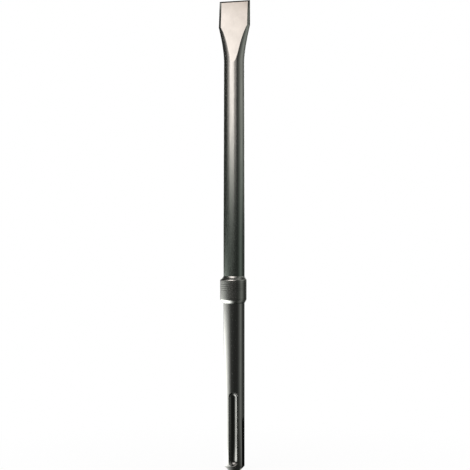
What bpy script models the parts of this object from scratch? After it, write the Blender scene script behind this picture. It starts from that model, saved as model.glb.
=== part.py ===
"""Flat demolition chisel: a forged and ground steel bar with a stop collar shrunk on it.

The tool stands on its shank end with the blade up. The width of the blade lies along X, one ground
face and one locking groove look along -Y, and the origin is the centre of the flat shank end.
"""

import math

import bmesh
import bpy
import numpy as np

# Bar
LENGTH = 0.400  # shank end to the middle of the cutting edge
SHANK_DIAMETER = 0.018  # the size that the hammer takes
DRAW_START = 0.215  # height from which the bar is drawn slimmer
NECK_DRAW = 0.0007  # how much slimmer it is under the blade, on the diameter
END_CHAMFER = 0.0038  # at the struck end, both ways

# Blade
BLADE_WIDTH = 0.0268  # across the shoulders, where it is widest
EDGE_NARROWING = 0.0010  # how much narrower it is at the cutting edge
BLADE_LENGTH = 0.0216  # cutting edge down to the shoulders
FLARE_LENGTH = 0.0304  # shoulders down to where the ground faces run out on the round
FLARE_POWER = 1.6  # how hollow the sides of the flare are
EDGE_BEVEL = 0.0011  # height of the small second bevel at the edge
EDGE_THICKNESS = 0.0022  # over the ground faces, where that bevel starts
EDGE_LAND = 0.0005  # thickness left at the very edge
SIDE_BAND_EDGE = 0.0018  # rounded side beside a ground face, at the edge
SIDE_BAND_SHOULDER = 0.0022  # the same at the shoulders
TONGUE_NOSE = 0.65  # share of the tongue's outline that is round nose rather than hollow side
NOSE_POWER = 0.5  # how blunt that nose is
SIDE_POWER = 3.4  # how hollow the sides of the tongue are
EDGE_SKEW = 0.05  # how far the cutting edge rises to the right, for each unit of width
SHOULDER_SKEW = 0.095  # the same for the shoulders
EDGE_SHIFT = 0.0007  # how far the cutting edge sits to the right of the bar's axis
SHOULDER_SHIFT = 0.0003  # the same for the shoulders

# Stop collar
COLLAR_Z = 0.1431  # shank end to the lower rim of the collar
COLLAR_RISE = 0.00225  # band over the bar, on the radius
COLLAR_BEVEL = 0.0031  # height of the bevel on the shank side
COLLAR_BAND = 0.0171  # height of the cylindrical band
COLLAR_SWEEP = 0.0030  # height of the swept shoulder on the blade side
COLLAR_HOLLOW = 0.49  # how hollow the sweep is, from a straight cone at 0 to a full curve at 1
COLLAR_ROUND = 0.0007  # reach of the rounding between band and sweep
COLLAR_OFFSET = -0.0006  # how far the ring's outside sits off the bar's axis, along X
COLLAR_LIP = 0.0003  # thickness of the ring at its two ends
FIT_GAP = 0.0002  # drawn gap between bar and ring; the real ring grips the bar

# Locking grooves and drive slots in the shank
LOCK_START = 0.0047  # shank end to the near end of a locking groove
LOCK_LENGTH = 0.0628
LOCK_WIDTH = 0.0077  # across the mouth
LOCK_DEPTH = 0.0030
SLOT_LENGTH = 0.0460  # shank end to the end of the run-out
SLOT_DEPTH = 0.0024
SLOT_RUNOUT_RADIUS = 0.025  # radius of the disc that mills the slots
WIDE_SLOT_WIDTH = 0.0090  # the single slot, on the left
NARROW_SLOT_WIDTH = 0.0040  # the pair, on the right
NARROW_SLOT_SPREAD = math.radians(23.0)  # each of the pair from the middle of its side

# Facets and modelling limits
SIDES = 80  # round the bar and the collar, a multiple of 4
MILL_SIDES = 32
FLARE_RINGS = 18
BLADE_RINGS = 5
ARC_STEPS = 8
SWEEP_STEPS = 14
RING_CROWDING = 1.6  # draws the flare's rings towards the nose of the tongue
OVERCUT = 0.004  # how far a cutter reaches past the surface that it cuts
MERGE_DISTANCE = 0.000001
SHARP_ANGLE = math.radians(25.0)

BAR_RADIUS = SHANK_DIAMETER / 2
NECK_RADIUS = (SHANK_DIAMETER - NECK_DRAW) / 2
SHOULDER_HALF = BLADE_WIDTH / 2
EDGE_HALF = (BLADE_WIDTH - EDGE_NARROWING) / 2
SHOULDER_Z = LENGTH - BLADE_LENGTH
NECK_Z = SHOULDER_Z - FLARE_LENGTH
BEVEL_Z = LENGTH - EDGE_BEVEL
COLLAR_HEIGHT = COLLAR_BEVEL + COLLAR_BAND + COLLAR_SWEEP
QUARTER = SIDES // 4
STEP_ANGLE = 2 * math.pi / SIDES


def blend(low, high, share):
    return low + (high - low) * share


def ground_half_thickness(z):
    """The two ground faces are planes: half the thickness between them falls evenly to the edge."""
    at_neck = NECK_RADIUS * math.cos(STEP_ANGLE)
    return blend(at_neck, EDGE_THICKNESS / 2, (z - NECK_Z) / (BEVEL_Z - NECK_Z))


def half_width(z):
    """Half the width of the forging: a hollow flare to the shoulders, nearly parallel above them."""
    if z >= SHOULDER_Z:
        return blend(SHOULDER_HALF, EDGE_HALF, (z - SHOULDER_Z) / BLADE_LENGTH)
    return blend(NECK_RADIUS, SHOULDER_HALF, ((z - NECK_Z) / FLARE_LENGTH) ** FLARE_POWER)


def face_half_width(z):
    """Half the width of a ground face: below the shoulders, a tongue with a nose and hollow sides."""
    if z >= SHOULDER_Z:
        share = (z - SHOULDER_Z) / BLADE_LENGTH
        return half_width(z) - blend(SIDE_BAND_SHOULDER, SIDE_BAND_EDGE, share)
    share = (z - NECK_Z) / FLARE_LENGTH
    outline = TONGUE_NOSE * share**NOSE_POWER + (1 - TONGUE_NOSE) * share**SIDE_POWER
    at_nose = NECK_RADIUS * math.sin(STEP_ANGLE)
    return blend(at_nose, SHOULDER_HALF - SIDE_BAND_SHOULDER, outline)


def blade_ring(z, half_thickness):
    """A section of the blade: an ellipse as wide as the forging, cut flat by the two ground faces.

    The ellipse passes through the corners of the flats, so its flanks run into the round bar below.
    Skew and shift grow from nothing at the neck to those of the shoulders, then go over to the edge's.
    """
    wide = half_width(z)
    corner = math.acos(face_half_width(z) / wide)
    tall = half_thickness / math.sin(corner)
    angles = corner * np.arange(QUARTER) / (QUARTER - 1)
    x = np.append(wide * np.cos(angles), 0.0)
    y = np.append(tall * np.sin(angles), half_thickness)
    first = np.column_stack([x, y])
    second = (first * (-1, 1))[-2:0:-1]
    half = np.vstack([first, second])
    ring = np.vstack([half, -half])
    grown = min((z - NECK_Z) / FLARE_LENGTH, 1.0)
    above = max((z - SHOULDER_Z) / BLADE_LENGTH, 0.0)
    lift = blend(SHOULDER_SKEW * grown, EDGE_SKEW, above) * ring[:, 0]
    aside = blend(SHOULDER_SHIFT * grown, EDGE_SHIFT, above)
    return np.column_stack([ring[:, 0] + aside, ring[:, 1], z + lift])


def round_ring(z, radius):
    angles = STEP_ANGLE * np.arange(SIDES)
    return np.column_stack([radius * np.cos(angles), radius * np.sin(angles), np.full(SIDES, z)])


def bar_rings():
    """Sections of the whole bar, from the struck end up to the cutting edge."""
    rings = [
        round_ring(0.0, BAR_RADIUS - END_CHAMFER),
        round_ring(END_CHAMFER, BAR_RADIUS),
        round_ring(DRAW_START, BAR_RADIUS),
    ]
    crowded = (np.arange(FLARE_RINGS) / FLARE_RINGS) ** RING_CROWDING
    heights = np.append(
        blend(NECK_Z, SHOULDER_Z, crowded),
        np.linspace(SHOULDER_Z, BEVEL_Z, BLADE_RINGS),
    )
    rings += [blade_ring(z, ground_half_thickness(z)) for z in heights]
    rings.append(blade_ring(LENGTH, EDGE_LAND / 2))
    return rings


def collar_profile():
    """Section of the ring, down its outside from the swept end, then up its bore.

    The sweep widens with the depth below its top, by a straight share and a squared one, and rounds
    over into the band where the two lie close together.
    """
    bore = BAR_RADIUS + FIT_GAP
    lip = bore + COLLAR_LIP
    outer = BAR_RADIUS + COLLAR_RISE
    rounded = COLLAR_BEVEL + COLLAR_BAND - COLLAR_ROUND
    heights = np.linspace(COLLAR_HEIGHT, rounded, SWEEP_STEPS + 1)
    depth = (COLLAR_HEIGHT - heights) / COLLAR_SWEEP
    swept = blend(lip, outer, blend(depth, depth**2, COLLAR_HOLLOW))
    near = np.clip(1 - np.abs(swept - outer) / COLLAR_ROUND, 0, 1)
    radius = np.minimum(swept, outer) - near**2 * COLLAR_ROUND / 4
    foot = [(outer, COLLAR_BEVEL), (lip, 0.0), (bore, 0.0), (bore, COLLAR_HEIGHT)]
    return list(zip(radius, heights)) + foot


def collar_ring(radius, z):
    """A loop of the ring; the further out it lies, the further it is off the bar's axis."""
    lip = BAR_RADIUS + FIT_GAP + COLLAR_LIP
    share = max((radius - lip) / (BAR_RADIUS + COLLAR_RISE - lip), 0.0)
    return round_ring(COLLAR_Z + z, radius) + (COLLAR_OFFSET * share, 0.0, 0.0)


def lock_mill():
    """Radius of the ball mill that cuts a groove of the stated width and depth, and its centre line."""
    mouth = math.sqrt(BAR_RADIUS**2 - (LOCK_WIDTH / 2) ** 2)
    sag = mouth - (BAR_RADIUS - LOCK_DEPTH)
    radius = ((LOCK_WIDTH / 2) ** 2 + sag**2) / (2 * sag)
    return radius, BAR_RADIUS - LOCK_DEPTH + radius


def lock_profile():
    """Half outline of the mill's path, a bar with round ends, from top to bottom."""
    radius, centre = lock_mill()
    reach = math.sqrt(radius**2 - (centre - BAR_RADIUS) ** 2)
    low, high = LOCK_START + reach, LOCK_START + LOCK_LENGTH - reach
    turn = np.linspace(0.0, math.pi / 2, ARC_STEPS + 1)
    upper = [(radius * math.sin(a), high + radius * math.cos(a)) for a in turn]
    lower = [(radius * math.cos(a), low - radius * math.sin(a)) for a in turn]
    return upper + lower


def slot_outline():
    """Side view of a drive slot: a flat floor from the shank end, rising where the disc runs out."""
    floor = BAR_RADIUS - SLOT_DEPTH
    disc = SLOT_RUNOUT_RADIUS
    runout = math.sqrt(disc**2 - (disc - SLOT_DEPTH) ** 2)
    reach = math.sqrt(disc**2 - (disc - SLOT_DEPTH - OVERCUT) ** 2)
    outline = [(BAR_RADIUS + OVERCUT, -OVERCUT), (floor, -OVERCUT)]
    for along in np.linspace(0.0, reach, ARC_STEPS + 1):
        lift = disc - math.sqrt(disc**2 - along**2)
        outline.append((floor + lift, SLOT_LENGTH - runout + along))
    return outline


def add_object(name, mesh):
    made = bpy.data.objects.new(name, mesh)
    bpy.context.collection.objects.link(made)
    return made


def loft(name, rings, endless=False):
    """A closed solid through equal rings: flat caps on both ends, or the last joined to the first."""
    count = len(rings[0])
    total = len(rings) * count
    top = total - count
    faces = [] if endless else [tuple(reversed(range(count))), tuple(range(top, total))]
    for low in range(0, total if endless else top, count):
        high = (low + count) % total
        for i in range(count):
            j = (i + 1) % count
            faces.append((low + i, low + j, high + j, high + i))
    mesh = bpy.data.meshes.new(name)
    mesh.from_pydata(np.vstack(rings).tolist(), [], faces)
    mesh.shade_smooth()
    mesh.set_sharp_from_angle(angle=SHARP_ANGLE)
    return add_object(name, mesh)


def turn_profile(name, profile, sides):
    """A turned solid: the (radius, height) profile, swept once round Z."""
    edges = [(i, i + 1) for i in range(len(profile) - 1)]
    mesh = bpy.data.meshes.new(name)
    mesh.from_pydata([(radius, 0.0, z) for radius, z in profile], edges, [])
    made = add_object(name, mesh)
    sweep = made.modifiers.new("turn", "SCREW")
    sweep.steps = sweep.render_steps = sides
    sweep.use_merge_vertices = True
    sweep.merge_threshold = MERGE_DISTANCE
    return made


def extrude_outline(name, outline, width):
    """A prism: the outline in the XZ plane, made as wide as stated along Y."""
    shape = bmesh.new()
    corners = [shape.verts.new((x, -width / 2, z)) for x, z in outline]
    side = shape.faces.new(corners)
    pulled = bmesh.ops.extrude_face_region(shape, geom=[side])
    moved = [item for item in pulled["geom"] if isinstance(item, bmesh.types.BMVert)]
    bmesh.ops.translate(shape, verts=moved, vec=(0.0, width, 0.0))
    bmesh.ops.recalc_face_normals(shape, faces=shape.faces)
    mesh = bpy.data.meshes.new(name)
    shape.to_mesh(mesh)
    shape.free()
    return add_object(name, mesh)


def cut(target, cutter):
    cutter.hide_render = True
    cutter.display_type = "WIRE"
    step = target.modifiers.new(cutter.name, "BOOLEAN")
    step.operation = "DIFFERENCE"
    step.solver = "EXACT"
    step.object = cutter


def cut_locking_groove(bar, name, side):
    cutter = turn_profile(name, lock_profile(), MILL_SIDES)
    cutter.location.y = side * lock_mill()[1]
    cut(bar, cutter)


def cut_drive_slot(bar, name, angle, width):
    cutter = extrude_outline(name, slot_outline(), width)
    cutter.rotation_euler.z = angle
    cut(bar, cutter)


def steel(name, colour, roughness):
    material = bpy.data.materials.new(name)
    material.use_nodes = True
    shader = material.node_tree.nodes["Principled BSDF"]
    shader.inputs["Base Color"].default_value = (*colour, 1.0)
    shader.inputs["Metallic"].default_value = 1.0
    shader.inputs["Roughness"].default_value = roughness
    return material


def make_bar():
    bar = loft("chisel_bar", bar_rings())
    bar.data.materials.append(steel("forged_steel", (0.34, 0.345, 0.335), 0.36))
    cut_locking_groove(bar, "lock_cut_front", -1)
    cut_locking_groove(bar, "lock_cut_back", 1)
    cut_drive_slot(bar, "slot_cut_wide", math.pi, WIDE_SLOT_WIDTH)
    cut_drive_slot(bar, "slot_cut_right_front", -NARROW_SLOT_SPREAD, NARROW_SLOT_WIDTH)
    cut_drive_slot(bar, "slot_cut_right_back", NARROW_SLOT_SPREAD, NARROW_SLOT_WIDTH)


def make_collar():
    upwards = reversed(collar_profile())
    collar = loft("stop_collar", [collar_ring(radius, z) for radius, z in upwards], endless=True)
    collar.data.materials.append(steel("turned_steel", (0.29, 0.28, 0.27), 0.36))


def build():
    for old in list(bpy.data.objects):
        bpy.data.objects.remove(old, do_unlink=True)
    make_bar()
    make_collar()


build()
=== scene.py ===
"""Looks of a flat demolition chisel: forged bar with ground blade faces, slotted shank and stop collar.

The tool stands upright with the blade at the top. The width of the blade lies along X, one ground
face and one locking groove look along -Y, and the origin is the centre of the flat shank end.
Lengths are in metres.
"""

import math
from typing import NamedTuple

import bmesh
import bpy
import numpy as np
from bpy.props import FloatProperty, FloatVectorProperty, PointerProperty
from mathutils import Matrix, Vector


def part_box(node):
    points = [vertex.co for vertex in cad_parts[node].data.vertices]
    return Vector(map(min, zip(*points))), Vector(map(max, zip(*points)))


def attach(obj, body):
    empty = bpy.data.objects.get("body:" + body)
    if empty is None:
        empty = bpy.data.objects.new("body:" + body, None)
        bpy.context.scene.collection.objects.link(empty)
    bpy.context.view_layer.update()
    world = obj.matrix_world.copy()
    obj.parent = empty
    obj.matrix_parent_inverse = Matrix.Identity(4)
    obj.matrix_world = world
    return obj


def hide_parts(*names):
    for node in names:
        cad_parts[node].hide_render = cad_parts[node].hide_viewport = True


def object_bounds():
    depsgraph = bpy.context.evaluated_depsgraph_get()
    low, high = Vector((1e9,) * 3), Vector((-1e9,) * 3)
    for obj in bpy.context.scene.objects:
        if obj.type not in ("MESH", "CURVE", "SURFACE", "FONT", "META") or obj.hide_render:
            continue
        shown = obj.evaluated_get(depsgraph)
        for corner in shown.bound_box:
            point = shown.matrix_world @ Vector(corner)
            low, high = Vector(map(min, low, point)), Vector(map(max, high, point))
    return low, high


bl_info = {
    "name": "Flat demolition chisel",
    "version": (1, 0, 0),
    "blender": (4, 5, 0),
    "location": "3D View > Sidebar > Chisel",
    "description": "Makes a forged flat chisel with its stop collar, and the stage it stands on",
    "category": "Object",
}

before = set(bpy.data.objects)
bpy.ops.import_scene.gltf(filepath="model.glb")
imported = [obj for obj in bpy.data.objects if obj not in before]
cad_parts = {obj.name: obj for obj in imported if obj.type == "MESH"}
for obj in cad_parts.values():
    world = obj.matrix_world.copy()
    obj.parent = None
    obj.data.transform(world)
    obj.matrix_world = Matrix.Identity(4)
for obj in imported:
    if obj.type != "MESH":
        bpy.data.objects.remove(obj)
CAD_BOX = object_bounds()

FORGED, GROUND, OILED = range(3)  # material places on the bar

# Columns round the bar, the same number in every section
WIDE_COLUMNS = 41
LOCK_COLUMNS = 45
NARROW_COLUMNS = 27
LOCK_EDGE_COLUMNS = 9  # of the columns across a locking groove, at each edge
LAND_COLUMNS = (24, 27, 27, 24, 13)
FLANK_COLUMNS = 60  # on half a flank of the blade
FACE_COLUMNS = 29  # inside a ground face, without its two corners
COLUMNS = WIDE_COLUMNS + 2 * LOCK_COLUMNS + 2 * NARROW_COLUMNS + sum(LAND_COLUMNS)
EDGE_REACH = 1.6  # broken edges, to each side of a cut's edge, that its close columns cover
NARROW_END = 0.86  # share of the bar's radius below which the cuts narrow with the chamfer
DISC_LIMIT = 0.99  # share of the milling disc's radius that its arc is followed to
HOLD = 0.012  # share of a flank or face that a crease is held in
FACE_SPAN = 0.97  # share of a ground face that its even columns cover

# Rows along the bar
CAP_SHARES = (0.0, 0.4, 0.75, 0.94)  # rings of the struck face, as shares of its radius
CORNER_ROWS = 6
CORNER_RISE = 0.7  # how far the struck corner's curve goes up the chamfer, in end rounds
CHAMFER_ROWS = 24
LOCK_END_ROWS = 34
LOCK_END = 0.6  # length of a locking groove's end, in groove widths
FLOOR_ROWS = 8
RUNOUT_ROWS = 30
RUNOUT_BEFORE = 0.0115  # length of the close rows before the end of a slot
RUNOUT_PAST = 0.0005  # and past it
EVEN_ROWS = 6  # on a stretch where nothing changes
COLLAR_ROWS = 30  # on the bar, inside the collar
DRAWN_ROWS = 16
FLARE_ROWS = 46
FLARE_CROWDING = 1.6  # power that crowds the rows of the flare at the neck
BLADE_ROWS = 14
BEVEL_ROWS = 4
ROW_GAP = 0.0001  # from the end of a groove to the nearest row
NEXT_GAP = 0.001  # from the shank's last row or the shoulders to the next even row
NECK_GAP = 0.0004  # from the shaft's last row to the neck
CREASE_GAP = 0.00012  # between the rows that hold a crease
MERGE_GAP = 1e-7  # points nearer than this are one
SLACK = 1e-6  # on a height that a row lies at

# Rows and sides of the collar, and its lathe lines
COLLAR_SIDES = 240
SWEEP_ROWS = 24
RIM_ROWS = 16
BAND_ROWS = 120
FOOT_SHARES = (1.0, 0.5, 0.25, 0.0)  # rows of the bevel, as shares of its height
LATHE_LINES = (0.0167, 0.0150, 0.0133, 0.0116, 0.0039)  # heights over the foot
LATHE_HALF = 0.0006  # half the width of a line

# Where films and painted shade lie
SCALE_TUCK = 0.01  # how far the shaft's scale and painted shade go on under the collar's top
LAST_PART = 0.75  # share of the blade's height above which the painted shade grows faster
ASIDE_RISE = 0.4  # share of the blade's height over which the painted shade's difference between its sides sets in
CUT_SHADE_POWER = 5  # power of the depth in a cut, for the painted shade on the cut's floor

# Steel
MOTTLE_CONTRAST = 2.6
STREAK_CONTRAST = 1.6
STREAK_SHARE = 0.55  # of the streaks in the mix with the mottle
ROUGH_SPREAD = 0.04  # of the roughness, both ways
BUMP_STRENGTH = 0.6
NOISE_DETAIL = 5.0
NOISE_ROUGHNESS = 0.6

# Floor
FLOOR_RADII = (0.0, 0.05, 0.5, 3.0, 12.0)
FLOOR_SIDES = 64
FLOOR_Z = -0.0001
FADE_REACH = (0.05, 0.30)  # distances from the tool between which the floor fades to white
FADE_LEAST = 0.92  # share of white under the tool

# Tent: radius and height of its floor, low step, cloth, round wall and ceiling
TENT_OUTLINE = (
    (0.004, -0.00005), (0.1, -0.00005), (0.5, -0.00005), (0.5, 0.095), (0.5, 0.19),
    (1.6, 0.19), (1.6, 1.1), (1.28, 1.6), (0.64, 1.8), (0.0, 1.8),
)
TENT_SIDES = 96
# Glow of the cloth by direction: degrees from the camera, to its right above 0 and to its left below
CLOTH_GLOW = (
    (-180, 0.30), (-162, 0.16), (-140, 0.03), (-110, 0.045), (-80, 0.08),
    (-50, 0.12), (0, 0.05), (38, 0.055), (57, 0.18), (75, 0.46),
    (93, 0.24), (112, 0.03), (130, 0.08), (150, 0.22), (180, 0.30),
)
CLOTH_TINT = (0.97, 1.0, 0.92)
# Degrees that directions turn by near the tool's foot, and the distances from and to which they do
CLOTH_TURN = (-15.0, 0.35, 0.10)
CARD_TURN = (-32.0, 0.16, 0.03)
CARD_FRONT = (-30.0, -150.0)  # directions over which the card brightens
CARD_BACK = (-172.0, -125.0)  # directions over which it comes up from behind the tool
CARD_HEIGHTS = (0.165, -0.045)  # heights over which it brightens downwards
CARD_FOOT = 0.09  # distance from the foot inside which it dims
CARD_LEAST = 0.2  # share of its glow that is left at the foot
CARD_TINT = (1.01, 1.0, 0.955)

KEY_TINT = (1.0, 0.915, 0.88)
SIDE_TINT = (0.98, 1.0, 0.93)
WHITE = (1.0, 1.0, 1.0)
CAMERA_REACH = 100.0


class Marks(NamedTuple):
    """Marks on a steel finish: scales per axis, amount of edge wear and painted sheen, height of the
    streaks.
    """

    mottle: tuple
    streaks: tuple
    rub_and_sheen: float
    relief: float


FORGED_MARKS = Marks((420, 420, 60), (2200, 2200, 45), 0.25, 0.000008)
GROUND_MARKS = Marks((160, 160, 120), (3000, 3000, 90), 0.3, 0.000004)
OILED_MARKS = Marks((200, 200, 60), (2600, 2600, 300), 0.12, 0.0000012)
# The collar's large rub amount paints a highlight on its swept shoulder
TURNED_MARKS = Marks((150, 150, 200), (30, 30, 3500), 2.2, 0.000008)


class PanelPlan(NamedTuple):
    """A light panel: degrees from the camera, place, size, and a share of a stage setting."""

    name: str
    degrees: float
    away: float
    z: float
    width: float
    height: float
    setting: str
    part: float
    tint: tuple


PANELS = (
    PanelPlan("key_high", -26.0, 0.45, 0.670, 0.43, 0.74, "key", 0.375, KEY_TINT),
    PanelPlan("key_low", -26.0, 0.46, 0.640, 0.44, 0.80, "key", 0.375, KEY_TINT),
    PanelPlan("key_border", -26.0, 0.47, 0.660, 1.10, 0.78, "key", 0.25, KEY_TINT),
    PanelPlan("side_panel", 103.0, 0.60, 0.328, 0.50, 0.205, "side", 1.0, SIDE_TINT),
    PanelPlan("back_panel", 180.0, 0.80, 0.60, 0.60, 0.80, "back", 1.0, WHITE),
)


def metres(name, description, default):
    return FloatProperty(
        name=name, description=description, default=default, min=0.0, precision=5, unit="LENGTH"
    )


def angle(name, description, degrees):
    """An angle property, given in degrees and kept in radians."""
    return FloatProperty(
        name=name, description=description, default=math.radians(degrees), subtype="ANGLE"
    )


def share(name, description, default):
    return FloatProperty(
        name=name, description=description, default=default, min=0.0, max=1.0, subtype="FACTOR"
    )


def colour(name, description, default):
    return FloatVectorProperty(
        name=name, description=description, default=default, size=3, min=0.0, max=1.0, subtype="COLOR"
    )


def strength(name, description, default):
    return FloatProperty(name=name, description=description, default=default, min=0.0)


class BarSizes(bpy.types.PropertyGroup):
    """Sizes of the forged bar above the shank"""

    length: metres("Length", "Shank end to the middle of the cutting edge", 0.400)
    diameter: metres("Diameter", "Round bar, and the size that the hammer takes", 0.018)
    draw_start: metres("Draw start", "Height from which the bar is drawn slimmer", 0.215)
    neck_draw: metres("Neck draw", "How much slimmer the bar is under the blade", 0.0007)
    blade_width: metres("Blade width", "Across the shoulders", CAD_BOX[1].x - CAD_BOX[0].x)
    edge_narrowing: metres("Edge narrowing", "How much narrower the cutting edge is", 0.0010)
    blade_length: metres("Blade length", "Cutting edge down to the shoulders", 0.0216)
    flare_length: metres("Flare length", "Shoulders down to the nose of the ground face", 0.0304)
    flare_power: FloatProperty(name="Flare power", description="How hollow the flare is", default=1.6)
    edge_bevel: metres("Edge bevel", "Height of the small second bevel", 0.0011)
    edge_thickness: metres("Edge thickness", "Where the second bevel starts", 0.0022)
    edge_land: metres("Edge land", "Thickness left at the very edge", 0.0005)
    band_edge: metres("Side band at edge", "Rounded side beside a ground face", 0.0018)
    band_shoulder: metres("Side band at shoulder", "The same at the shoulders", 0.0022)
    tongue_nose: share("Tongue nose", "How much of the tongue's outline is nose, not hollow side", 0.65)
    nose_power: FloatProperty(name="Nose power", description="How blunt the nose is", default=0.5)
    side_power: FloatProperty(name="Side power", description="How hollow the tongue is", default=3.4)
    nose_angle: angle("Nose angle", "Half the arc that the tip starts on", 1.5)
    edge_skew: share("Edge skew", "Rise of the edge to the right, for each unit of width", 0.05)
    shoulder_skew: share("Shoulder skew", "The same for the shoulders", 0.095)
    edge_shift: metres("Edge shift", "How far the edge sits to the right of the bar's axis", 0.0007)
    shoulder_shift: metres("Shoulder shift", "The same for the shoulders", 0.0003)


class ShankSizes(bpy.types.PropertyGroup):
    """Sizes of the grooves and slots in the shank"""

    chamfer: metres("End chamfer", "At the struck end, both ways", 0.0038)
    chamfer_round: metres("Chamfer round", "Reach of the rounding between chamfer and bar", 0.0005)
    end_round: metres("End round", "Rounding between struck face and chamfer", 0.0003)
    lock_start: metres("Groove start", "Shank end to a locking groove", 0.0047)
    lock_length: metres("Groove length", "Locking groove, end to end", 0.0628)
    lock_width: metres("Groove width", "Across the mouth", 0.0077)
    lock_depth: metres("Groove depth", "Below the round", 0.0030)
    slot_length: metres("Slot length", "Shank end to the end of the run-out", 0.0460)
    slot_depth: metres("Slot depth", "Below the round", 0.0024)
    slot_disc: metres("Slot disc", "Radius of the disc that mills the slots", 0.025)
    wide_slot: metres("Wide slot", "Width of the single drive slot", 0.0090)
    narrow_slot: metres("Narrow slot", "Width of the pair of drive slots", 0.0040)
    narrow_spread: angle("Narrow spread", "Each of the pair from the middle of its side", 23.0)
    broken_edge: metres("Broken edge", "Rounding of the milled edges", 0.00012)


class CollarSizes(bpy.types.PropertyGroup):
    """Sizes of the stop collar"""

    foot: metres("Foot", "Shank end to the lower rim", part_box("stop_collar")[0].z)
    rise: metres("Rise", "Band over the bar, on the radius", 0.00225)
    bevel: metres("Bevel", "Height of the bevel on the shank side", 0.0031)
    band: metres("Band", "Height of the cylindrical band", 0.0171)
    sweep: metres("Sweep", "Height of the swept shoulder", 0.0030)
    hollow: share("Hollow", "How hollow the sweep is, from a straight cone to a full curve", 0.49)
    rim: metres("Rim", "Reach of the rounding between band and sweep", 0.0007)
    corner: metres("Corner", "Reach of the broken corners of the bevel", 0.0002)
    offset: FloatProperty(
        name="Offset", description="How far the ring sits off the bar's axis, along X", default=-0.0006,
        precision=5, unit="LENGTH",
    )
    grip: metres("Grip", "How far the ring bites into the bar", 0.00005)
    turning_depth: metres("Turning depth", "Depth of the lathe lines on the band", 0.000015)


class Finishes(bpy.types.PropertyGroup):
    """Colours and roughness of the steel"""

    forged_dark: colour("Forged, dark", "Scale left on the drawn bar", (0.335, 0.340, 0.326))
    forged_light: colour("Forged, light", "Rubbed parts of the drawn bar", (0.455, 0.456, 0.440))
    forged_rough: share("Forged roughness", "Roughness of the drawn bar", 0.25)
    ground_dark: colour("Ground, dark", "Deeper lines of the ground faces", (0.396, 0.392, 0.373))
    ground_light: colour("Ground, light", "Crests of the ground faces", (0.480, 0.474, 0.450))
    ground_rough: share("Ground roughness", "Roughness of the ground faces", 0.32)
    shank_dark: colour("Shank, dark", "Oiled shank", (0.245, 0.250, 0.246))
    shank_light: colour("Shank, light", "Rubbed shank", (0.330, 0.334, 0.328))
    shank_rough: share("Shank roughness", "Roughness of the shank", 0.18)
    collar_dark: colour("Collar, dark", "Bottom of the lathe lines", (0.260, 0.268, 0.259))
    collar_light: colour("Collar, light", "Crests of the lathe lines", (0.356, 0.367, 0.355))
    collar_rough: share("Collar roughness", "Roughness of the collar", 0.26)
    # Bare steel on worn edges, and a painted highlight on the collar's swept shoulder
    worn_and_sheen: colour("Worn edge", "Bare steel on rubbed edges", (0.505, 0.515, 0.500))
    # Colour of the forging's film: oiled scale, and painted shade where the film darkens the shaft and
    # the flanks
    scale: colour("Scale", "Film of oiled scale over the forging", (0.170, 0.220, 0.197))
    # Painted shade on the ground faces: darker towards the cutting edge and on the right side
    painted_shade: colour("Haze", "Dulling of the ground faces towards the edge", (0.150, 0.130, 0.105))
    # Colour of the painted shade in the cuts and at the collar's foot, and of the darkening in the
    # lathe lines, along milled edges and on the edge bevel
    shade_and_darkening: colour("Soot", "Dirt in lines and cuts, and on the edge bevel", (0.050, 0.054, 0.052))


class FilmsAndShade(bpy.types.PropertyGroup):
    """How far scale, painted shade and darkening cover the steel"""

    # Scale on the shaft, which also paints shade: darkest above the collar, clearing towards the neck
    shaft: share("Shaft scale", "Scale on the shaft above the collar", 0.75)
    shaft_start: metres("Scale start", "Collar's top to where the scale starts to clear", 0.012)
    shaft_reach: metres("Scale reach", "Length over which the scale clears", 0.165)
    # Painted shade on the blade: darker towards the cutting edge and on its right side
    blade: share("Blade haze", "Haze that grows evenly from the neck to the cutting edge", 0.28)
    edge: share("Edge haze", "Haze that is added near the cutting edge", 0.17)
    aside: share("Haze aside", "Haze that the right side has more and the left side less", 0.13)
    # Painted shade on the floors of the shank's cuts
    cuts: share("Dirt in cuts", "Dirt on the floors of the shank's cuts", 0.85)
    # Darkening along the milled edges
    milled: share("Dirt at edges", "Dirt along the milled edges", 0.90)
    # Darker in the collar's lathe lines
    lines: share("Dirt in lines", "Dirt in the collar's lathe lines", 0.40)
    # Painted shade at the foot of the collar, where it meets the bar
    foot: share("Dirt at foot", "Dirt at the foot of the collar", 0.88)


class StageSettings(bpy.types.PropertyGroup):
    """Camera, lights and floor"""

    azimuth: angle("Camera azimuth", "Round the tool, from the front towards +X", 5.6)
    elevation: angle("Camera elevation", "Above the horizon", 1.5)
    distance: metres("Camera distance", "From the middle of the tool", 1.5)
    aim: metres("Aim height", "Height that the camera looks at", 0.2012)
    aside: metres("Aim aside", "How far to the right of the tool the camera looks", 0.0008)
    view: metres("View height", "Height of the picture at the tool", 0.4006)
    key: strength("Key panel", "Radiance of the panel at the front left", 2.52)
    side: strength("Side panel", "Radiance of the panel at the right", 0.37)
    back: strength("Back panel", "Radiance of the panel behind the tool", 1.6)
    low: strength("Low card", "Radiance of the low white card at the left", 9.6)
    ambient: strength("Ambient", "Even light on the floor", 0.6)
    floor: colour("Floor", "Pale floor", (0.82, 0.82, 0.82))


def blend(low, high, part):
    """A value between two: the low one plus a share of the way to the high one."""
    return low + (high - low) * part


def ease(part):
    """A share of 0 to 1 that starts and stops gently."""
    part = np.clip(part, 0.0, 1.0)
    return part * part * (3.0 - 2.0 * part)


def soft_min(first, second, reach):
    """The lower of two surfaces, rounded over where they lie within reach; also how near they are."""
    near = np.clip(1.0 - np.abs(first - second) / reach, 0.0, 1.0)
    return np.minimum(first, second) - near * near * reach / 4.0, near


def neck_height(bar):
    """Height of the neck, where the flare starts."""
    return bar.length - bar.blade_length - bar.flare_length


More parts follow.
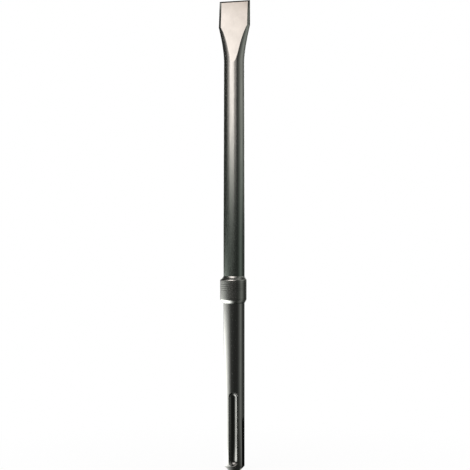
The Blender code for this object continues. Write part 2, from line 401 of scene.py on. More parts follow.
def collar_top(collar):
    """Height of the top of the swept shoulder."""
    return collar.foot + collar.bevel + collar.band + collar.sweep


def side_offsets(half, reach, count, edge):
    """Offsets across a cut, from side to side: even over the middle, close together at both edges.

    Each edge has its own count of columns, within reach of half the width.
    """
    right = np.linspace(half - reach, half + reach, edge + 1)
    middle = np.linspace(-right[0], right[0], count - 2 * edge)
    return np.concatenate([-right[:0:-1], middle, right[1:]])


def lock_surface(shank, radius, offset, z, round_u):
    """Height of a locking groove's floor over its middle plane.

    A ball of a set radius runs along the bar: inside its path the floor is the centre line less the
    ball's depth, the root of ball radius squared less offset squared less the overrun squared.
    """
    mouth = math.sqrt(radius**2 - (shank.lock_width / 2) ** 2)
    sag = mouth - (radius - shank.lock_depth)
    ball = ((shank.lock_width / 2) ** 2 + sag**2) / (2 * sag)
    centre = radius - shank.lock_depth + ball
    reach = math.sqrt(ball**2 - (centre - radius) ** 2)
    low, high = shank.lock_start + reach, shank.lock_start + shank.lock_length - reach
    overrun = np.maximum(np.maximum(low - z, z - high), 0.0)
    away = np.hypot(offset, overrun)
    depth = np.sqrt(np.maximum(ball**2 - away**2, 0.0))
    trough = centre - depth + np.maximum(away - ball, 0.0)
    return soft_min(round_u, trough, shank.broken_edge)


def slot_surface(shank, radius, offset, z, round_u, half):
    """Height of a drive slot's floor over its middle plane.

    The floor is flat from the shank end and then rises on the arc of the milling disc; the walls
    stand on an eased step a broken edge wide.
    """
    disc = shank.slot_disc
    runout = math.sqrt(disc**2 - (disc - shank.slot_depth) ** 2)
    along = np.clip(z - (shank.slot_length - runout), 0.0, DISC_LIMIT * disc)
    floor = radius - shank.slot_depth + disc - np.sqrt(disc**2 - along**2)
    floor, near = soft_min(round_u, floor, shank.broken_edge)
    wall = (np.abs(offset) - half + shank.broken_edge / 2) / shank.broken_edge
    cut_depth = np.clip((round_u - floor) / shank.broken_edge, 0.0, 1.0)
    rim = np.exp(-(((np.abs(offset) - half) / shank.broken_edge) ** 2)) * cut_depth
    return blend(floor, round_u, ease(wall)), np.maximum(near, rim)


def shank_sections(bar, shank, z, radius):
    """X, Y and edge closeness of every shank section, one row per height.

    Across each cut a column keeps its distance from the cut's middle plane and takes the height of
    the cut's floor; on the lands between, columns share out the arc of the round.
    """
    full = bar.diameter / 2
    kept = np.minimum(1.0, radius / (NARROW_END * full))[:, None]
    z, radius = z[:, None], radius[:, None]
    reach = EDGE_REACH * shank.broken_edge
    cuts = (
        (shank.narrow_spread, shank.narrow_slot / 2, NARROW_COLUMNS),
        (math.pi / 2, None, LOCK_COLUMNS),
        (math.pi, shank.wide_slot / 2, WIDE_COLUMNS),
        (1.5 * math.pi, None, LOCK_COLUMNS),
        (2 * math.pi - shank.narrow_spread, shank.narrow_slot / 2, NARROW_COLUMNS),
    )
    turns, rises, edges = [], [], []
    for middle, half, count in cuts:
        if half:
            offset = side_offsets(half, reach, count, count // 3) * kept
        else:
            offset = side_offsets(shank.lock_width / 2, reach, count, LOCK_EDGE_COLUMNS) * kept
        round_u = np.sqrt(radius**2 - offset**2)
        if half:
            height, near = slot_surface(shank, full, offset, z, round_u, half * kept)
        else:
            height, near = lock_surface(shank, full, offset, z, round_u)
        turns.append(middle + np.arctan2(offset, height))
        rises.append(np.hypot(offset, height))
        edges.append(near * np.ones_like(height))
    turn, rise, edge = [], [], []
    for i, count in enumerate(LAND_COLUMNS):
        after = turns[(i + 1) % len(cuts)][:, :1] + (2 * math.pi if i + 1 == len(cuts) else 0.0)
        part = (np.arange(count) + 1.0) / (count + 1.0)
        turn += [turns[i], blend(turns[i][:, -1:], after, part)]
        rise += [rises[i], radius * np.ones(count)]
        edge += [edges[i], np.zeros((len(z), count))]
    start = LAND_COLUMNS[-1] // 2 + 1
    turn, rise, edge = (np.roll(np.hstack(rows), start, axis=1) for rows in (turn, rise, edge))
    return rise * np.cos(turn), rise * np.sin(turn), edge


def face_half_thickness(bar, z):
    """Half the thickness between the two ground planes, falling evenly from the nose to the bevel.

    Above the bevel's start it falls faster, to the land at the cutting edge.
    """
    neck_z = neck_height(bar)
    bevel_z = bar.length - bar.edge_bevel
    nose = (bar.diameter - bar.neck_draw) / 2 * math.cos(bar.nose_angle)
    plane = blend(nose, bar.edge_thickness / 2, (z - neck_z) / (bevel_z - neck_z))
    bevel = blend(bar.edge_thickness / 2, bar.edge_land / 2, (z - bevel_z) / bar.edge_bevel)
    return np.where(z > bevel_z, bevel, plane)


def blade_sections(bar, z):
    """X, Y and edge closeness of every blade section, one row per height.

    A section is an ellipse as wide as the forging, cut flat by the two ground planes. The width is a
    hollow flare (a power of the height). The face is a tongue: a low power of the height for its nose
    plus a high one for its hollow sides, added by squares to the width that its tip starts with. The
    ellipse passes through the corners of the flats.
    """
    neck = (bar.diameter - bar.neck_draw) / 2
    shoulder_z = bar.length - bar.blade_length
    low = np.clip((z - (shoulder_z - bar.flare_length)) / bar.flare_length, 0.0, 1.0)
    high = np.clip((z - shoulder_z) / bar.blade_length, 0.0, 1.0)
    half = bar.blade_width / 2
    wide = blend(neck, half, low**bar.flare_power) - high * bar.edge_narrowing / 2
    outline = blend(low**bar.side_power, low**bar.nose_power, bar.tongue_nose)
    nose = neck * math.sin(bar.nose_angle)
    spread = math.sqrt((half - bar.band_shoulder) ** 2 - nose**2)
    tongue = np.hypot(nose, spread * outline)
    upper = wide - blend(bar.band_shoulder, bar.band_edge, high)
    face = np.where(z > shoulder_z, upper, tongue)
    thick = face_half_thickness(bar, z)
    corner = np.arccos(face / wide)
    tall = thick / np.sin(corner)
    part = np.linspace(0.0, 1.0, FLANK_COLUMNS)
    flank = np.concatenate([part[:-1], [1.0 - HOLD, 1.0]])
    even = np.linspace(FACE_SPAN, -FACE_SPAN, FACE_COLUMNS - 2)
    across = np.concatenate([[1.0 - HOLD], even, [HOLD - 1.0]])
    turn = flank[None, :] * corner[:, None]
    x = np.hstack([wide[:, None] * np.cos(turn), face[:, None] * across])
    y = np.hstack([tall[:, None] * np.sin(turn), thick[:, None] * np.ones(FACE_COLUMNS)])
    back_flank = slice(FLANK_COLUMNS, 0, -1)
    x = np.hstack([x, -x[:, back_flank]])
    y = np.hstack([y, y[:, back_flank]])
    crease = np.zeros(x.shape[1])
    crease[[FLANK_COLUMNS, FLANK_COLUMNS + FACE_COLUMNS + 1]] = 1.0
    crease = np.tile(crease, (len(z), 1))
    return np.hstack([x, -x]), np.hstack([y, -y]), np.hstack([crease, crease])


def end_profile(bar, shank):
    """Radius and height of the struck end, the chamfer and the shank up to the end of its grooves.

    The corner of the struck face is a quadratic curve; the chamfer runs into the round through a
    soft minimum; rows crowd at the ends of the cuts and spread where nothing changes.
    """
    full = bar.diameter / 2
    flat = full - shank.chamfer
    lock_top = shank.lock_start + shank.lock_length
    ball = shank.lock_width * LOCK_END
    t = np.linspace(0.0, 1.0, CORNER_ROWS)
    out = shank.end_round
    corner_z = CORNER_RISE * out * t * t
    corner_r = flat - out * (1.0 - t) ** 2 + corner_z
    steps = (
        np.linspace(corner_z[-1], shank.lock_start - 2 * ROW_GAP, CHAMFER_ROWS),
        np.linspace(shank.lock_start - ROW_GAP, shank.lock_start + ball, LOCK_END_ROWS),
        np.linspace(shank.lock_start + ball, shank.slot_length - RUNOUT_BEFORE, FLOOR_ROWS),
        np.linspace(shank.slot_length - RUNOUT_BEFORE, shank.slot_length + RUNOUT_PAST, RUNOUT_ROWS),
        np.linspace(shank.slot_length + RUNOUT_PAST, lock_top - ball, EVEN_ROWS),
        np.linspace(lock_top - ball, lock_top + ROW_GAP, LOCK_END_ROWS),
    )
    z = np.concatenate([step[1:] for step in steps])
    radius, _ = soft_min(flat + z, full * np.ones_like(z), shank.chamfer_round)
    return np.concatenate([corner_r, radius]), np.concatenate([corner_z, z])


def bar_grid(bar, shank, collar):
    """Points of the whole bar as a grid of sections by columns, with edge closeness and row heights.

    Skew and shift of the blade grow evenly from the neck to the shoulders, and above them go over to
    those of the cutting edge.
    """
    full, neck = bar.diameter / 2, (bar.diameter - bar.neck_draw) / 2
    shoulder_z = bar.length - bar.blade_length
    neck_z, bevel_z = neck_height(bar), bar.length - bar.edge_bevel
    radius, z = end_profile(bar, shank)
    sx, sy, sedge = shank_sections(bar, shank, z, radius)
    cap = np.array(CAP_SHARES)[:, None]
    cap_rows = (cap * sx[:1], cap * sy[:1], np.zeros((len(cap), COLUMNS)))
    crowded = np.linspace(0.0, 1.0, FLARE_ROWS) ** FLARE_CROWDING
    blade_z = np.concatenate(
        [
            blend(neck_z, shoulder_z - CREASE_GAP, crowded),
            [shoulder_z, shoulder_z + CREASE_GAP],
            np.linspace(shoulder_z + NEXT_GAP, bevel_z - CREASE_GAP, BLADE_ROWS),
            [bevel_z, bevel_z + CREASE_GAP],
            np.linspace(bevel_z + 3 * CREASE_GAP, bar.length - CREASE_GAP / 2, BEVEL_ROWS),
            [bar.length],
        ]
    )
    bx, by, bedge = blade_sections(bar, blade_z)
    bedge[blade_z > bevel_z - CREASE_GAP / 2] = 0.0
    turn_shank = np.unwrap(np.arctan2(sy[-1], sx[-1]))
    turn_neck = np.unwrap(np.arctan2(by[0], bx[0]))
    top = collar_top(collar)
    shaft_z = np.concatenate(
        [
            np.linspace(z[-1] + NEXT_GAP, collar.foot, EVEN_ROWS),
            np.linspace(collar.foot, top, COLLAR_ROWS)[1:],
            np.linspace(top, bar.draw_start, EVEN_ROWS)[1:],
            np.linspace(bar.draw_start, neck_z - NECK_GAP, DRAWN_ROWS)[1:],
        ]
    )
    slide = ease((shaft_z - collar.foot) / (top - collar.foot))[:, None]
    turn = blend(turn_shank, turn_neck, slide)
    drawn = np.clip((shaft_z - bar.draw_start) / (neck_z - bar.draw_start), 0.0, 1.0)
    shaft_r = blend(full, neck, drawn)[:, None]
    shaft_rows = (shaft_r * np.cos(turn), shaft_r * np.sin(turn), np.zeros_like(turn))
    closing = (bx[-1:], 0.0 * by[-1:], bedge[-1:])
    x, y, edge = (
        np.vstack(rows)
        for rows in zip(cap_rows, (sx, sy, sedge), shaft_rows, (bx, by, bedge), closing)
    )
    heights = np.concatenate([np.zeros(len(cap)), z, shaft_z, blade_z, [bar.length]])
    grown = np.clip((heights - neck_z) / bar.flare_length, 0.0, 1.0)[:, None]
    above = np.clip((heights - shoulder_z) / bar.blade_length, 0.0, 1.0)[:, None]
    lift = blend(bar.shoulder_skew * grown, bar.edge_skew, above) * x
    aside = blend(bar.shoulder_shift * grown, bar.edge_shift, above)
    return np.dstack([x + aside, y, heights[:, None] + lift]), edge, heights


def turned_grid(outline, sides):
    """An outline of radius and height turned once round Z, as a grid of outline points by sides."""
    turn = np.linspace(0.0, 2 * math.pi, sides, endpoint=False)
    radius, z = (np.array(values)[:, None] for values in zip(*outline))
    return np.dstack([radius * np.cos(turn), radius * np.sin(turn), np.tile(z, (1, sides))])


def grid_faces(rows, columns):
    """Quads of a grid that closes on itself along its columns."""
    row, column = np.meshgrid(np.arange(rows - 1), np.arange(columns), indexing="ij")
    low, after = row * columns, (column + 1) % columns
    quads = np.stack([low + column, low + after, low + columns + after, low + columns + column], -1)
    return quads.reshape(-1, 4)


def mesh_piece(name, points, places=None, **marks):
    """A smooth mesh object from a grid, with marks on its points and material places on its faces.

    Rows that shrink to a point or a line are merged.
    """
    faces = grid_faces(*points.shape[:2])
    mesh = bpy.data.meshes.new(name)
    mesh.from_pydata(points.reshape(-1, 3), [], faces)
    if places is not None:
        mesh.polygons.foreach_set("material_index", np.asarray(places, np.int32))
    for mark, values in marks.items():
        layer = mesh.attributes.new(mark, "FLOAT", "POINT")
        layer.data.foreach_set("value", np.asarray(values, np.float32).ravel())
    shape = bmesh.new()
    shape.from_mesh(mesh)
    bmesh.ops.remove_doubles(shape, verts=shape.verts, dist=MERGE_GAP)
    shape.to_mesh(mesh)
    shape.free()
    mesh.shade_smooth()
    piece = bpy.data.objects.new(name, mesh)
    bpy.context.scene.collection.objects.link(piece)
    return piece


def bar_places(heights, bar, collar):
    """Which finish each face of the bar has: oiled shank and edge bevel, ground faces, forging."""
    middle = (heights[1:] + heights[:-1]) / 2
    bevel_z = bar.length - bar.edge_bevel
    places = np.full((len(middle), COLUMNS), FORGED)
    places[(middle < collar.foot + collar.bevel) | (middle > bevel_z)] = OILED
    blade = (middle > neck_height(bar)) & (middle < bevel_z)
    for start in (FLANK_COLUMNS, FLANK_COLUMNS + COLUMNS // 2):
        places[blade, start : start + FACE_COLUMNS + 1] = GROUND
    return places.ravel()


def bar_film_and_shade(points, edge, heights, scene):
    """How far film and painted shade cover each point of the bar, from 0 to 1.

    The forging is dullest above the collar and clears towards the neck: scale, and painted shade that
    darkens the shaft towards the collar. The blade dulls evenly with the height, faster near the
    cutting
    edge, and a little more on its right: painted shade, on the ground faces and the flanks. The small
    bevel is darkened all over. The milled edges are darkened, and the shank's cuts get painted shade
    deep down, by a power of their depth as a share of the depth that the kind of cut has.
    """
    bar, shank, collar = scene.chisel_bar, scene.chisel_shank, scene.chisel_collar
    films_and_shade = scene.chisel_films
    x, y = points[:, :, 0], points[:, :, 1]
    top, neck_z = collar_top(collar), neck_height(bar)
    # Scale, and painted shade that darkens the shaft towards the collar
    cleared = ease((heights - top - films_and_shade.shaft_start) / films_and_shade.shaft_reach)
    shaft = films_and_shade.shaft * (1.0 - cleared) * (heights > top - SCALE_TUCK)
    up = np.clip((heights - neck_z) / (bar.length - neck_z), 0.0, 1.0)
    # Painted shade on the blade, growing with the height and faster near the cutting edge
    blade = films_and_shade.blade * up + films_and_shade.edge * ease((up - LAST_PART) / (1.0 - LAST_PART))
    # The small bevel at the cutting edge is darkened all over
    bevel = 1.0 * (heights > bar.length - bar.edge_bevel - SLACK)
    # Painted shade deep in the shank's cuts, and darkening along the milled edges
    deepest = np.where(np.abs(x) > bar.diameter / 4, shank.slot_depth, shank.lock_depth)
    cut = np.clip((bar.diameter / 2 - np.hypot(x, y)) / deepest, 0.0, 1.0)
    milled = (heights > shank.chamfer) & (heights < collar.foot)
    cut_shade_and_darkening = (films_and_shade.cuts * cut**CUT_SHADE_POWER + films_and_shade.milled * edge) * milled[:, None]
    # Painted shade that is darker on the blade's right side and lighter on its left
    across = films_and_shade.aside * x / (bar.blade_width / 2) * ease(up / ASIDE_RISE)[:, None]
    return np.clip((shaft + blade + bevel)[:, None] + across + cut_shade_and_darkening, 0.0, 1.0)


def collar_profile(bar, collar, films_and_shade):
    """Closed outline of the ring as radius, height, film with painted shade, and wear with a painted
    highlight, from the bore's top outwards.

    The shoulder's radius grows with the depth below the top, a straight share plus a squared one, and
    meets the band in a soft minimum. The band has shallow lathe lines, each a cosine dip, and the foot
    is a straight bevel back to the bar. The lines are darker, the lower half of the bevel gets painted
    shade where the ring meets the bar, and the swept shoulder gets a painted highlight as worn steel.
    """
    bar_r = bar.diameter / 2
    bore, outer = bar_r - collar.grip, bar_r + collar.rise
    band_top = collar.bevel + collar.band
    height = band_top + collar.sweep
    corner = collar.corner
    side_z = np.concatenate(
        [
            np.linspace(height, band_top + collar.rim, SWEEP_ROWS),
            np.linspace(band_top + collar.rim, band_top - collar.rim, RIM_ROWS)[1:],
            np.linspace(band_top - collar.rim, collar.bevel + corner, BAND_ROWS)[1:],
        ]
    )
    depth = (height - side_z) / collar.sweep
    swept = bar_r + collar.rise * blend(depth, depth * depth, collar.hollow)
    side_r, _ = soft_min(swept, np.full_like(swept, outer), collar.rim)
    dip = np.clip(1.0 - np.abs(side_z[:, None] - np.array(LATHE_LINES)) / LATHE_HALF, 0.0, 1.0)
    side_r = side_r - collar.turning_depth * (1.0 - np.cos(math.pi * dip)).sum(1) / 2
    # The bevel keeps clear of its two corners by shares of their reach, so that they come out broken
    low = np.array(FOOT_SHARES)
    cone_r = blend(bar_r + 0.5 * corner, outer - 0.6 * corner, low)
    cone_z = blend(0.9 * corner, collar.bevel - corner, low)
    foot_r = np.concatenate([[outer - 0.15 * corner], cone_r, [bar_r, bore]])
    foot_z = np.concatenate([[collar.bevel + 0.25 * corner], cone_z, [0.0, 0.0]])
    profile_r = np.concatenate([[bore], side_r, foot_r])
    profile_z = np.concatenate([[height], side_z, foot_z])
    # The lathe lines are darker
    lined = films_and_shade.lines * np.clip(dip.sum(1), 0.0, 1.0)
    # Painted shade on the lower half of the bevel, where the ring meets the bar
    foot_shade = films_and_shade.foot * np.clip(1.0 - 2.0 * foot_z / collar.bevel, 0.0, 1.0)
    # Worn steel and a painted highlight on the swept shoulder
    rubbed_and_sheen = ease((profile_z - band_top + collar.rim) / collar.rim)
    return profile_r, profile_z + collar.foot, np.concatenate([[0.0], lined, foot_shade]), rubbed_and_sheen


def collar_grid(bar, collar, films_and_shade):
    """The collar's outline turned once round Z, as a grid of outline points by sides, and its marks.

    The ring's outside is off the axis by an offset that grows evenly with the rise over the bar.
    """
    radius, z, film, rubbed_and_sheen = collar_profile(bar, collar, films_and_shade)
    points = turned_grid(list(zip(radius, z)), COLLAR_SIDES)
    aside = collar.offset * np.clip((radius - bar.diameter / 2) / collar.rise, 0.0, 1.0)
    points[:, :, 0] += aside[:, None]
    closed = np.append(np.arange(len(z))[::-1], len(z) - 1)
    film, wear_and_sheen = (np.tile(mark[closed, None], (1, COLLAR_SIDES)) for mark in (film, rubbed_and_sheen))
    return points[closed], film, wear_and_sheen


def opaque(tint):
    """A colour with full alpha."""
    return (*tint, 1.0)


def plug(tree, socket, value):
    """Link an input to a socket, or give it a plain value."""
    if isinstance(value, bpy.types.NodeSocket):
        tree.links.new(value, socket)
    else:
        socket.default_value = value


def math_node(tree, operation, *values, clamp=False):
    """The result of a Math node on sockets and plain numbers."""
    node = tree.nodes.new("ShaderNodeMath")
    node.operation = operation
    node.use_clamp = clamp
    for socket, value in zip(node.inputs, values):
        plug(tree, socket, value)
    return node.outputs[0]


def vector_node(tree, operation, *values):
    """A Vector Math node on sockets and plain vectors."""
    node = tree.nodes.new("ShaderNodeVectorMath")
    node.operation = operation
    for socket, value in zip(node.inputs, values):
        plug(tree, socket, value)
    return node


def range_node(tree, value, low, high, to=(0.0, 1.0), eased=False):
    """A value carried from one range to another, straight or eased, and held at its ends."""
    node = tree.nodes.new("ShaderNodeMapRange")
    if eased:
        node.interpolation_type = "SMOOTHSTEP"
    for label, number in zip(("From Min", "From Max", "To Min", "To Max"), (low, high, *to)):
        node.inputs[label].default_value = number
    tree.links.new(value, node.inputs["Value"])
    return node.outputs["Result"]


def mix_node(tree, factor, first, second, kind="RGBA", blend_type="MIX"):
    """Two colours or values mixed by a factor."""
    node = tree.nodes.new("ShaderNodeMix")
    node.data_type = kind
    node.blend_type = blend_type
    for label, value in (("Factor", factor), ("A", first), ("B", second)):
        plug(tree, node.inputs[label], value)
    return node.outputs["Result"]


def mark_node(tree, name):
    """The value of a named mark on the points of the mesh."""
    node = tree.nodes.new("ShaderNodeAttribute")
    node.attribute_name = name
    return node.outputs["Fac"]


def mask_node(tree, group, **values):
    """The mask that a group gives for the inputs that are named."""
    node = tree.nodes.new("ShaderNodeGroup")
    node.node_tree = group
    for label, value in values.items():
        plug(tree, node.inputs[label], value)
    return node.outputs["Mask"]


def mask_group(name, **inputs):
    """An empty shader group with the inputs that are named and a mask, and its end nodes' sockets."""
    group = bpy.data.node_groups.new(name, "ShaderNodeTree")
    for label, kind in inputs.items():
        group.interface.new_socket(label, in_out="INPUT", socket_type=f"NodeSocket{kind}")
    group.interface.new_socket("Mask", in_out="OUTPUT", socket_type="NodeSocketFloat")
    return group, group.nodes.new("NodeGroupInput").outputs, group.nodes.new("NodeGroupOutput").inputs


def streak_group():
    """Fine marks drawn out along one way: noise on coordinates that are scaled per axis."""
    name = "steel_streaks"
    if name in bpy.data.node_groups:
        return bpy.data.node_groups[name]
    group, given, result = mask_group(name, Vector="Vector", Scale="Vector", Contrast="Float")
    stretched = vector_node(group, "MULTIPLY", given["Vector"], given["Scale"])
    noise = group.nodes.new("ShaderNodeTexNoise")
    noise.inputs["Scale"].default_value = 1.0
    noise.inputs["Detail"].default_value = NOISE_DETAIL
    noise.inputs["Roughness"].default_value = NOISE_ROUGHNESS
    group.links.new(stretched.outputs["Vector"], noise.inputs["Vector"])
    centred = math_node(group, "SUBTRACT", noise.outputs["Fac"], 0.5)
    spread = math_node(group, "MULTIPLY_ADD", centred, given["Contrast"], 0.5, clamp=True)
    group.links.new(spread, result["Mask"])
    return group


def wear_group():
    """Rubbed edges and painted sheen: a mark of closeness to an edge, broken up by the mottle and
    scaled by an amount.
    """
    name = "edge_rub"
    if name in bpy.data.node_groups:
        return bpy.data.node_groups[name]
    group, given, result = mask_group(name, Edge="Float", Mottle="Float", Amount="Float")
    broken = math_node(group, "MULTIPLY", given["Edge"], given["Mottle"])
    scaled = math_node(group, "MULTIPLY", broken, given["Amount"], clamp=True)
    group.links.new(scaled, result["Mask"])
    return group


def steel_material(name, look, kind, film, marks):
    """A steel finish: two tones mixed by mottle and streaks, a dark film that also paints shade, rubbed
    edges that also paint a highlight, streaked bump.

    The kind names the tones and the roughness among the finishes, and film is the colour of the film
    and the painted shade.
    """
    material = bpy.data.materials.new(name)
    material.use_nodes = True
    tree = material.node_tree
    shader = tree.nodes["Principled BSDF"]
    shader.inputs["Metallic"].default_value = 1.0
    place = tree.nodes.new("ShaderNodeTexCoord").outputs["Object"]
    mottle, fine = (
        mask_node(tree, streak_group(), Vector=place, Scale=scale, Contrast=contrast)
        for scale, contrast in ((marks.mottle, MOTTLE_CONTRAST), (marks.streaks, STREAK_CONTRAST))
    )
    both = mix_node(tree, STREAK_SHARE, mottle, fine, "FLOAT")
    dark, light = (opaque(getattr(look, f"{kind}_{tone}")) for tone in ("dark", "light"))
    toned = mix_node(tree, both, dark, light)
    # Mix in the film's colour by its mark: scale, darkening and painted shade
    filmed_and_shaded = mix_node(tree, mark_node(tree, "film"), toned, opaque(film))
    edge = mark_node(tree, "edge_wear")
    # Worn edges, and the painted highlight on the collar's swept shoulder
    rubbed_and_sheen = mask_node(tree, wear_group(), Edge=edge, Mottle=mottle, Amount=marks.rub_and_sheen)
    finish = mix_node(tree, rubbed_and_sheen, filmed_and_shaded, opaque(look.worn_and_sheen))
    rough = getattr(look, f"{kind}_rough")
    gloss = range_node(tree, both, 0.0, 1.0, (rough + ROUGH_SPREAD, rough - ROUGH_SPREAD))
    bump = tree.nodes.new("ShaderNodeBump")
    bump.inputs["Strength"].default_value = BUMP_STRENGTH
    bump.inputs["Distance"].default_value = marks.relief
    tree.links.new(fine, bump.inputs["Height"])
    tree.links.new(finish, shader.inputs["Base Color"])
    tree.links.new(gloss, shader.inputs["Roughness"])
    tree.links.new(bump.outputs["Normal"], shader.inputs["Normal"])
    return material


def bare_material(name):
    """A new node material that has no surface yet, and its tree."""
    material = bpy.data.materials.new(name)
    material.use_nodes = True
    tree = material.node_tree
    tree.nodes.remove(tree.nodes["Principled BSDF"])
    return material, tree


def seen_white(tree):
    """1 for the rays that should see the white surroundings: camera, glossy and transmission."""
    path = tree.nodes.new("ShaderNodeLightPath").outputs
    seen = math_node(tree, "MAXIMUM", path["Is Camera Ray"], path["Is Glossy Ray"])
    return math_node(tree, "MAXIMUM", seen, path["Is Transmission Ray"])


def floor_material(tint):
    """A pale matt floor that looks white to camera and reflections and still takes shadows.

    The white share grows with the distance from the tool, so the floor fades into the backdrop.
    """
    material, tree = bare_material("pale_floor")
    matt = tree.nodes.new("ShaderNodeBsdfDiffuse")
    matt.inputs["Color"].default_value = opaque(tint)
    glow = tree.nodes.new("ShaderNodeEmission")
    mixed = tree.nodes.new("ShaderNodeMixShader")
    place = tree.nodes.new("ShaderNodeTexCoord").outputs["Object"]
    away = vector_node(tree, "LENGTH", place).outputs["Value"]
    fade = range_node(tree, away, *FADE_REACH, (FADE_LEAST, 1.0))
    tree.links.new(math_node(tree, "MULTIPLY", seen_white(tree), fade), mixed.inputs["Fac"])
    tree.links.new(matt.outputs["BSDF"], mixed.inputs[1])
    tree.links.new(glow.outputs["Emission"], mixed.inputs[2])
    tree.links.new(mixed.outputs["Shader"], tree.nodes["Material Output"].inputs["Surface"])
    return material


def tent_material(facing, card):
    """Dark cloth of the tent, paler at the right and behind, with a low white card at the left.

    The cloth's glow follows the direction round the tool: the arctangent of the Object coordinates,
    turned to the camera's azimuth, read through a ramp. The card's glow is a product of eased shares:
    two of that direction, one of the height, and one of the distance from the tool's foot. Near the
    foot the directions turn on, by an eased share of that distance.
    """
    material, tree = bare_material("dark_tent")
    place = tree.nodes.new("ShaderNodeTexCoord").outputs["Object"]
    turned = tree.nodes.new("ShaderNodeMapping")
    turned.inputs["Rotation"].default_value = (0.0, 0.0, math.pi / 2 - facing)
    apart = tree.nodes.new("ShaderNodeSeparateXYZ")
    tree.links.new(place, turned.inputs["Vector"])
    tree.links.new(turned.outputs["Vector"], apart.inputs["Vector"])
    way = math_node(tree, "ARCTAN2", apart.outputs["Y"], apart.outputs["X"])
    away = vector_node(tree, "LENGTH", place).outputs["Value"]

    def turned_way(degrees, far, close):
        """The direction, turned by some degrees where the distance from the foot falls to close."""
        part = range_node(tree, away, far, close, eased=True)
        return math_node(tree, "MULTIPLY_ADD", part, math.radians(degrees), way)

    ramp = tree.nodes.new("ShaderNodeValToRGB")
    stops = ramp.color_ramp.elements
    while len(stops) < len(CLOTH_GLOW):
        stops.new(0.5)
    for stop, (degrees, value) in zip(stops, CLOTH_GLOW):
        stop.position = (degrees + 180) / 360
        stop.color = opaque(part * value for part in CLOTH_TINT)
    tree.links.new(range_node(tree, turned_way(*CLOTH_TURN), -math.pi, math.pi), ramp.inputs["Fac"])
    front, back = (tuple(math.radians(end) for end in ends) for ends in (CARD_FRONT, CARD_BACK))
    lit = range_node(tree, turned_way(*CARD_TURN), *front, eased=True)
    for part in (
        range_node(tree, way, *back, eased=True),
        range_node(tree, apart.outputs["Z"], *CARD_HEIGHTS, eased=True),
        range_node(tree, away, 0.0, CARD_FOOT, (CARD_LEAST, 1.0), eased=True),
    ):
        lit = math_node(tree, "MULTIPLY", lit, part)
    white = opaque(part * card for part in CARD_TINT)
    glow = tree.nodes.new("ShaderNodeEmission")
    seen = mix_node(tree, lit, ramp.outputs["Color"], white, blend_type="ADD")
    tree.links.new(seen, glow.inputs["Color"])
    tree.links.new(glow.outputs["Emission"], tree.nodes["Material Output"].inputs["Surface"])
    material.cycles.emission_sampling = "NONE"
    return material


def around(azimuth, distance, z):
    """A point at an azimuth from the front (towards +X), a distance from the axis and a height."""
    return Vector((distance * math.sin(azimuth), -distance * math.cos(azimuth), z))


def add_panel(plan, stage):
    """A rectangular light that faces the tool: its power is radiance times pi times its area."""
    way = stage.azimuth + math.radians(plan.degrees)
    radiance = plan.part * getattr(stage, plan.setting)
    light = bpy.data.lights.new(plan.name, "AREA")
    light.shape = "RECTANGLE"
    light.size, light.size_y = plan.width, plan.height
    light.energy = radiance * math.pi * plan.width * plan.height
    light.color = plan.tint
    panel = bpy.data.objects.new(plan.name, light)
    panel.location = around(way, plan.away, plan.z)
    panel.rotation_euler = around(way, -1.0, 0.0).to_track_quat("-Z", "Y").to_euler()
    panel.visible_camera = False
    bpy.context.scene.collection.objects.link(panel)


def add_camera(stage):
    """A level-headed camera on a circle round the tool, aimed just beside its middle."""
    data = bpy.data.cameras.new("camera")
    camera = bpy.data.objects.new("camera", data)
    reach = stage.distance * math.cos(stage.elevation)
    rise = stage.distance * math.sin(stage.elevation)
    beside = around(stage.azimuth + math.pi / 2, stage.aside, 0.0)
    away = around(stage.azimuth, reach, rise)
    camera.location = beside + away + Vector((0.0, 0.0, stage.aim))
    camera.rotation_euler = (-away).to_track_quat("-Z", "Y").to_euler()
    data.angle = 2 * math.atan(stage.view / 2 / stage.distance)
    data.clip_end = CAMERA_REACH
    bpy.context.scene.collection.objects.link(camera)
    bpy.context.scene.camera = camera


def add_floor(stage):
    """A round floor, its radius growing along one parameter and its angle along the other."""
    outline = [(radius, FLOOR_Z) for radius in FLOOR_RADII]
    floor = mesh_piece("floor", turned_grid(outline, FLOOR_SIDES))
    floor.data.materials.append(floor_material(stage.floor))


def add_tent(stage):
    """Dark surroundings that only reflections see: an outline turned round the tool."""
    tent = mesh_piece("dark_tent", turned_grid(TENT_OUTLINE, TENT_SIDES))
    tent.data.materials.append(tent_material(stage.azimuth, stage.low))
    tent.visible_camera = tent.visible_diffuse = tent.visible_shadow = False
    tent.visible_transmission = tent.visible_volume_scatter = False


def add_world(stage):
    """White to the camera and to reflections, and an even grey light on the floor."""
    world = bpy.data.worlds.new("studio")
    bpy.context.scene.world = world
    world.use_nodes = True
    tree = world.node_tree
    sky = tree.nodes["Background"]
    sky.inputs["Color"].default_value = opaque(WHITE)
    level = range_node(tree, seen_white(tree), 0.0, 1.0, (stage.ambient, 1.0))
    tree.links.new(level, sky.inputs["Strength"])


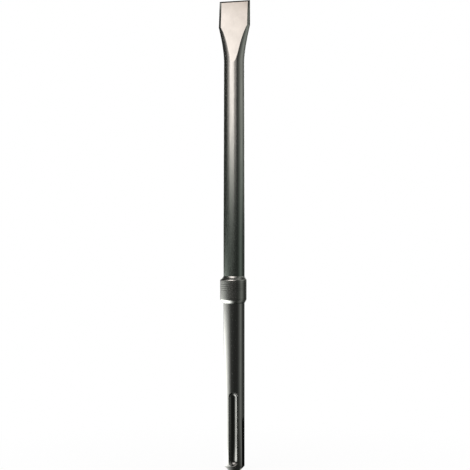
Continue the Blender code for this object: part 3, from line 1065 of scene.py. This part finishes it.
class CHISEL_OT_bar(bpy.types.Operator):
    """Make the forged bar: blade, flare, shaft and slotted shank in one skin"""

    bl_idname = "chisel.bar"
    bl_label = "Chisel bar"

    def execute(self, context):
        scene = context.scene
        bar, collar, look = scene.chisel_bar, scene.chisel_collar, scene.chisel_look
        points, edge, heights = bar_grid(bar, scene.chisel_shank, collar)
        places = bar_places(heights, bar, collar)
        film = bar_film_and_shade(points, edge, heights, scene)
        piece = mesh_piece("chisel_bar_skin", points, places, edge_wear=edge, film=film)
        # Film colours: scale with painted shade on the forging, painted shade on the ground faces,
        # darkening and painted shade on the shank
        for name, kind, tint, marks in (
            ("forged_steel", "forged", look.scale, FORGED_MARKS),
            ("ground_steel", "ground", look.painted_shade, GROUND_MARKS),
            ("oiled_steel", "shank", look.shade_and_darkening, OILED_MARKS),
        ):
            piece.data.materials.append(steel_material(name, look, kind, tint, marks))
        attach(piece, "root")
        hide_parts("chisel_bar")
        return {"FINISHED"}


class CHISEL_OT_collar(bpy.types.Operator):
    """Make the stop collar: a turned ring with a swept shoulder and a bevelled foot"""

    bl_idname = "chisel.collar"
    bl_label = "Stop collar"

    def execute(self, context):
        scene = context.scene
        look = scene.chisel_look
        points, film, wear_and_sheen = collar_grid(scene.chisel_bar, scene.chisel_collar, scene.chisel_films)
        # Its marks give darker lathe lines, painted shade at the foot and a painted highlight on the
        # shoulder
        piece = mesh_piece("stop_collar_skin", points, edge_wear=wear_and_sheen, film=film)
        finish = steel_material("turned_steel", look, "collar", look.shade_and_darkening, TURNED_MARKS)
        piece.data.materials.append(finish)
        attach(piece, "root")
        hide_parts("stop_collar")
        return {"FINISHED"}


class CHISEL_OT_stage(bpy.types.Operator):
    """Make the floor, the lights, the dark tent and the camera"""

    bl_idname = "chisel.stage"
    bl_label = "Stage"

    def execute(self, context):
        stage = context.scene.chisel_stage
        context.scene.view_settings.view_transform = "Standard"
        add_camera(stage)
        add_floor(stage)
        add_tent(stage)
        add_world(stage)
        for plan in PANELS:
            add_panel(plan, stage)
        return {"FINISHED"}


class CHISEL_PT_maker(bpy.types.Panel):
    """Sizes, finishes and makers of the chisel"""

    bl_idname = "CHISEL_PT_maker"
    bl_label = "Flat chisel"
    bl_space_type = "VIEW_3D"
    bl_region_type = "UI"
    bl_category = "Chisel"

    def draw(self, context):
        for group_name, _ in GROUPS:
            box = self.layout.box()
            group = getattr(context.scene, group_name)
            for key in group.bl_rna.properties.keys():
                if key not in {"rna_type", "name"}:
                    box.prop(group, key)
        for operator in (CHISEL_OT_bar, CHISEL_OT_collar, CHISEL_OT_stage):
            self.layout.operator(operator.bl_idname)


GROUPS = (
    ("chisel_bar", BarSizes),
    ("chisel_shank", ShankSizes),
    ("chisel_collar", CollarSizes),
    ("chisel_look", Finishes),
    ("chisel_films", FilmsAndShade),
    ("chisel_stage", StageSettings),
)
CLASSES = (
    *[group for _, group in GROUPS],
    CHISEL_OT_bar,
    CHISEL_OT_collar,
    CHISEL_OT_stage,
    CHISEL_PT_maker,
)


def register():
    for item in CLASSES:
        bpy.utils.register_class(item)
    for group_name, group in GROUPS:
        setattr(bpy.types.Scene, group_name, PointerProperty(type=group))


def unregister():
    for group_name, _ in GROUPS:
        delattr(bpy.types.Scene, group_name)
    for item in reversed(CLASSES):
        bpy.utils.unregister_class(item)


def main():
    register()
    bpy.ops.chisel.bar()
    bpy.ops.chisel.collar()
    bpy.ops.chisel.stage()


if __name__ == "__main__":
    main()
